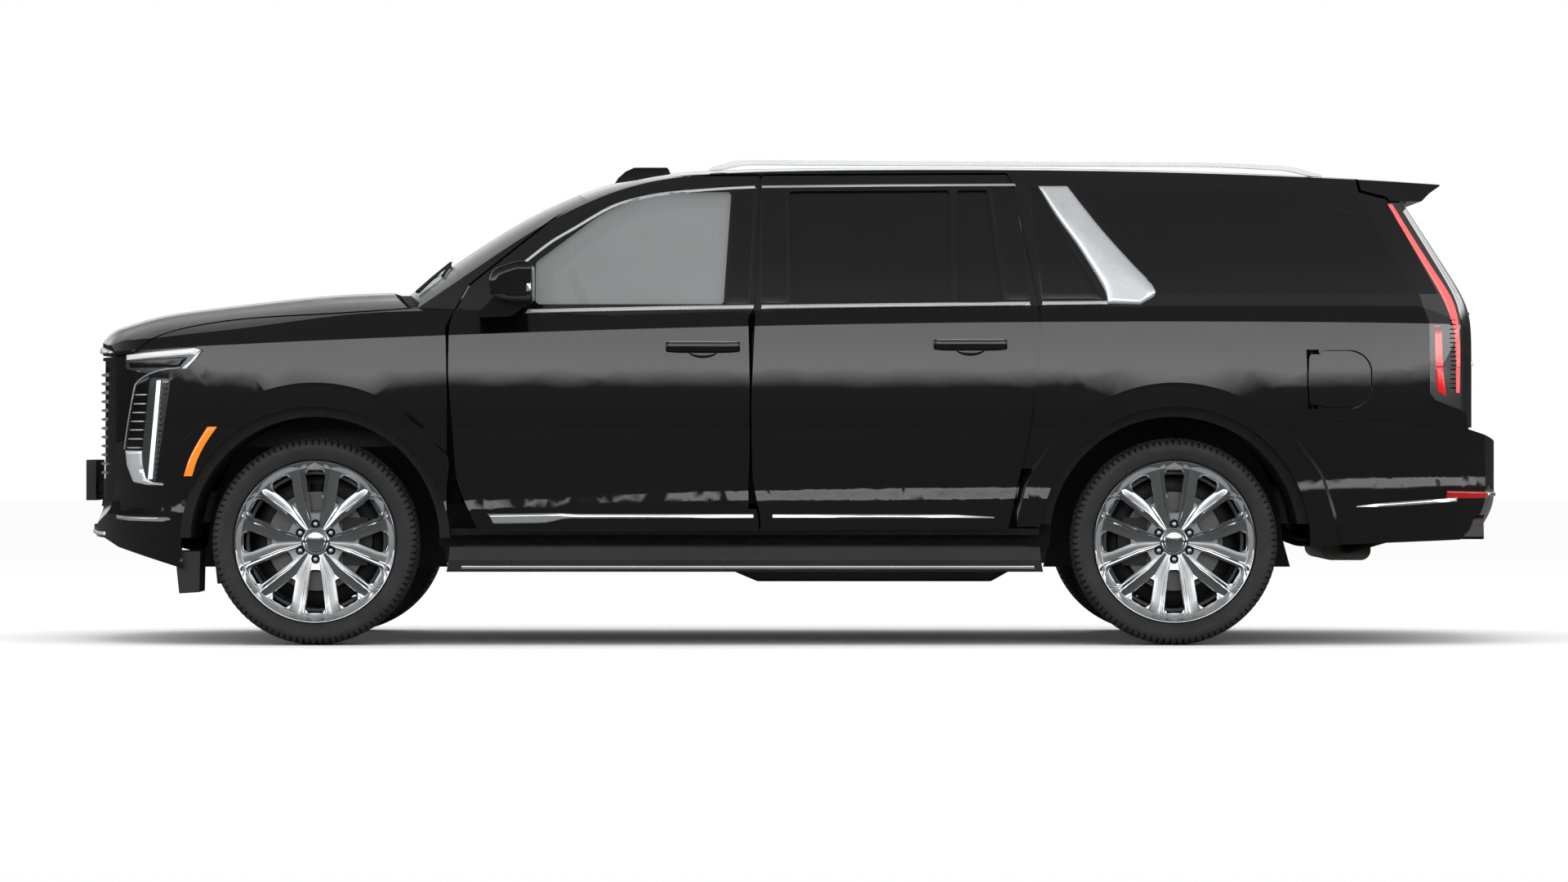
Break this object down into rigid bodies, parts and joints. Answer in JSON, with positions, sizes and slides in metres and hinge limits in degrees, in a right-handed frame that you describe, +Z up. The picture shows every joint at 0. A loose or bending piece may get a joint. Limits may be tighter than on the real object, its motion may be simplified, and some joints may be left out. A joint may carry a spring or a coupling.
{
  "type": "sport utility vehicle",
  "caption": "Long-wheelbase sport utility vehicle with hinged doors, hood, liftgate and fuel door, spinning wheels and steered front wheels.",
  "frame": {"origin": "on the ground, at the middle of the overall length and width, under the vehicle", "axes": "+X to the rear, +Y to the vehicle's right, +Z up"},
  "size_m": [5.7662, 2.464, 1.9379],
  "materials": {
    "body_paint": "clear-coated gloss",
    "trim_black": "gloss",
    "plastic_black": "fine grain",
    "chrome": "bright",
    "glass_clear": "polished",
    "glass_dark": "polished",
    "lamp_lens": "polished",
    "lamp_red": "gloss",
    "tyre_rubber": "moulded",
    "wheel_chrome": "bright",
    "cast_metal": "as cast",
    "frame_steel": "satin",
    "exhaust_steel": "brushed",
    "leather": "grained",
    "inner_plastic": "grained"
  },
  "bodies": {
    "body": {"body_sides": "body_paint", "roof_panel": "body_paint", "front_fenders": "body_paint", "floor_pan": "frame_steel", "chassis_frame": "frame_steel", "windshield": "glass_clear", "quarter_glass": "glass_dark", "cowl_panel": "plastic_black", "front_bumper": "body_paint", "grille": "chrome", "headlamps": "lamp_lens", "front_plate_bracket": "plastic_black", "rear_bumper": "body_paint", "tail_lamps": "lamp_red", "roof_rails": "chrome", "running_boards": "plastic_black", "wheel_arch_liners": "plastic_black", "engine_bay_panels": "frame_steel", "dashboard": "inner_plastic", "front_seats": "leather", "second_row_seats": "leather", "third_row_seat": "leather", "engine_block": "cast_metal", "exhaust_system": "exhaust_steel", "propshaft": "exhaust_steel", "fuel_tank": "plastic_black", "front_suspension": "cast_metal", "rear_suspension": "cast_metal", "hitch_receiver": "frame_steel"},
    "hood": {"hood": "body_paint"},
    "liftgate": {"liftgate": "body_paint", "liftgate_glass": "glass_dark", "rear_spoiler": "trim_black"},
    "fuel_door": {"fuel_door": "body_paint"},
    "steering_wheel": {"steering_wheel": "inner_plastic"},
    "front_door_left": {"front_door_left": "body_paint", "front_door_glass_left": "glass_clear", "mirror_left": "body_paint"},
    "wheel_front_left": {"tyre_front_left": "tyre_rubber", "wheel_front_left": "wheel_chrome"},
    "knuckle_left": {"steering_knuckle_left": "cast_metal"},
    "front_door_right": {"front_door_right": "body_paint", "front_door_glass_right": "glass_clear", "mirror_right": "body_paint"},
    "wheel_front_right": {"tyre_front_right": "tyre_rubber", "wheel_front_right": "wheel_chrome"},
    "knuckle_right": {"steering_knuckle_right": "cast_metal"},
    "rear_door_left": {"rear_door_left": "body_paint", "rear_door_glass_left": "glass_dark"},
    "wheel_rear_left": {"tyre_rear_left": "tyre_rubber", "wheel_rear_left": "wheel_chrome"},
    "rear_door_right": {"rear_door_right": "body_paint", "rear_door_glass_right": "glass_dark"},
    "wheel_rear_right": {"tyre_rear_right": "tyre_rubber", "wheel_rear_right": "wheel_chrome"}
  },
  "joints": [
    {"name": "front_door_left_hinge", "type": "hinge", "parent": "body", "child": "front_door_left", "pos_m": [-1.306, -1, 0.94], "axis": [0, 0, -1], "range_deg": [0, 65]},
    {"name": "wheel_front_left_spin", "type": "hinge", "parent": "knuckle_left", "child": "wheel_front_left", "pos_m": [-1.881, -0.872, 0.41], "axis": [0, 1, 0], "continuous": true},
    {"name": "front_door_right_hinge", "type": "hinge", "parent": "body", "child": "front_door_right", "pos_m": [-1.306, 1, 0.94], "axis": [0, 0, 1], "range_deg": [0, 65]},
    {"name": "wheel_front_right_spin", "type": "hinge", "parent": "knuckle_right", "child": "wheel_front_right", "pos_m": [-1.881, 0.872, 0.41], "axis": [0, 1, 0], "continuous": true},
    {"name": "rear_door_left_hinge", "type": "hinge", "parent": "body", "child": "rear_door_left", "pos_m": [-0.106, -1, 0.94], "axis": [0, 0, -1], "range_deg": [0, 70]},
    {"name": "wheel_rear_left_spin", "type": "hinge", "parent": "body", "child": "wheel_rear_left", "pos_m": [1.526, -0.872, 0.41], "axis": [0, 1, 0], "continuous": true},
    {"name": "rear_door_right_hinge", "type": "hinge", "parent": "body", "child": "rear_door_right", "pos_m": [-0.106, 1, 0.94], "axis": [0, 0, 1], "range_deg": [0, 70]},
    {"name": "wheel_rear_right_spin", "type": "hinge", "parent": "body", "child": "wheel_rear_right", "pos_m": [1.526, 0.872, 0.41], "axis": [0, 1, 0], "continuous": true},
    {"name": "steer_left", "type": "hinge", "parent": "body", "child": "knuckle_left", "pos_m": [-1.881, -0.79, 0.41], "axis": [0, 0, 1], "range_deg": [-33, 33]},
    {"name": "steer_right", "type": "hinge", "parent": "body", "child": "knuckle_right", "pos_m": [-1.881, 0.79, 0.41], "axis": [0, 0, 1], "range_deg": [-33, 33]},
    {"name": "hood_hinge", "type": "hinge", "parent": "body", "child": "hood", "pos_m": [-1.47, 0, 1.318], "axis": [0, 1, 0], "range_deg": [0, 42]},
    {"name": "liftgate_hinge", "type": "hinge", "parent": "body", "child": "liftgate", "pos_m": [2.2, 0, 1.834], "axis": [0, -1, 0], "range_deg": [0, 85]},
    {"name": "fuel_door_hinge", "type": "hinge", "parent": "body", "child": "fuel_door", "pos_m": [2.07, -1.006, 1.053], "axis": [0, 0, -1], "range_deg": [0, 85]},
    {"name": "steering_wheel_turn", "type": "hinge", "parent": "body", "child": "steering_wheel", "pos_m": [-0.811, -0.38, 1.322], "axis": [0.9135, 0, 0.4067], "range_deg": [-500, 500]}
  ],
  "couplings": [
    {"joint": "steer_right", "follows": "steer_left", "ratio": 1},
    {"joint": "steering_wheel_turn", "follows": "steer_left", "ratio": 15}
  ]
}
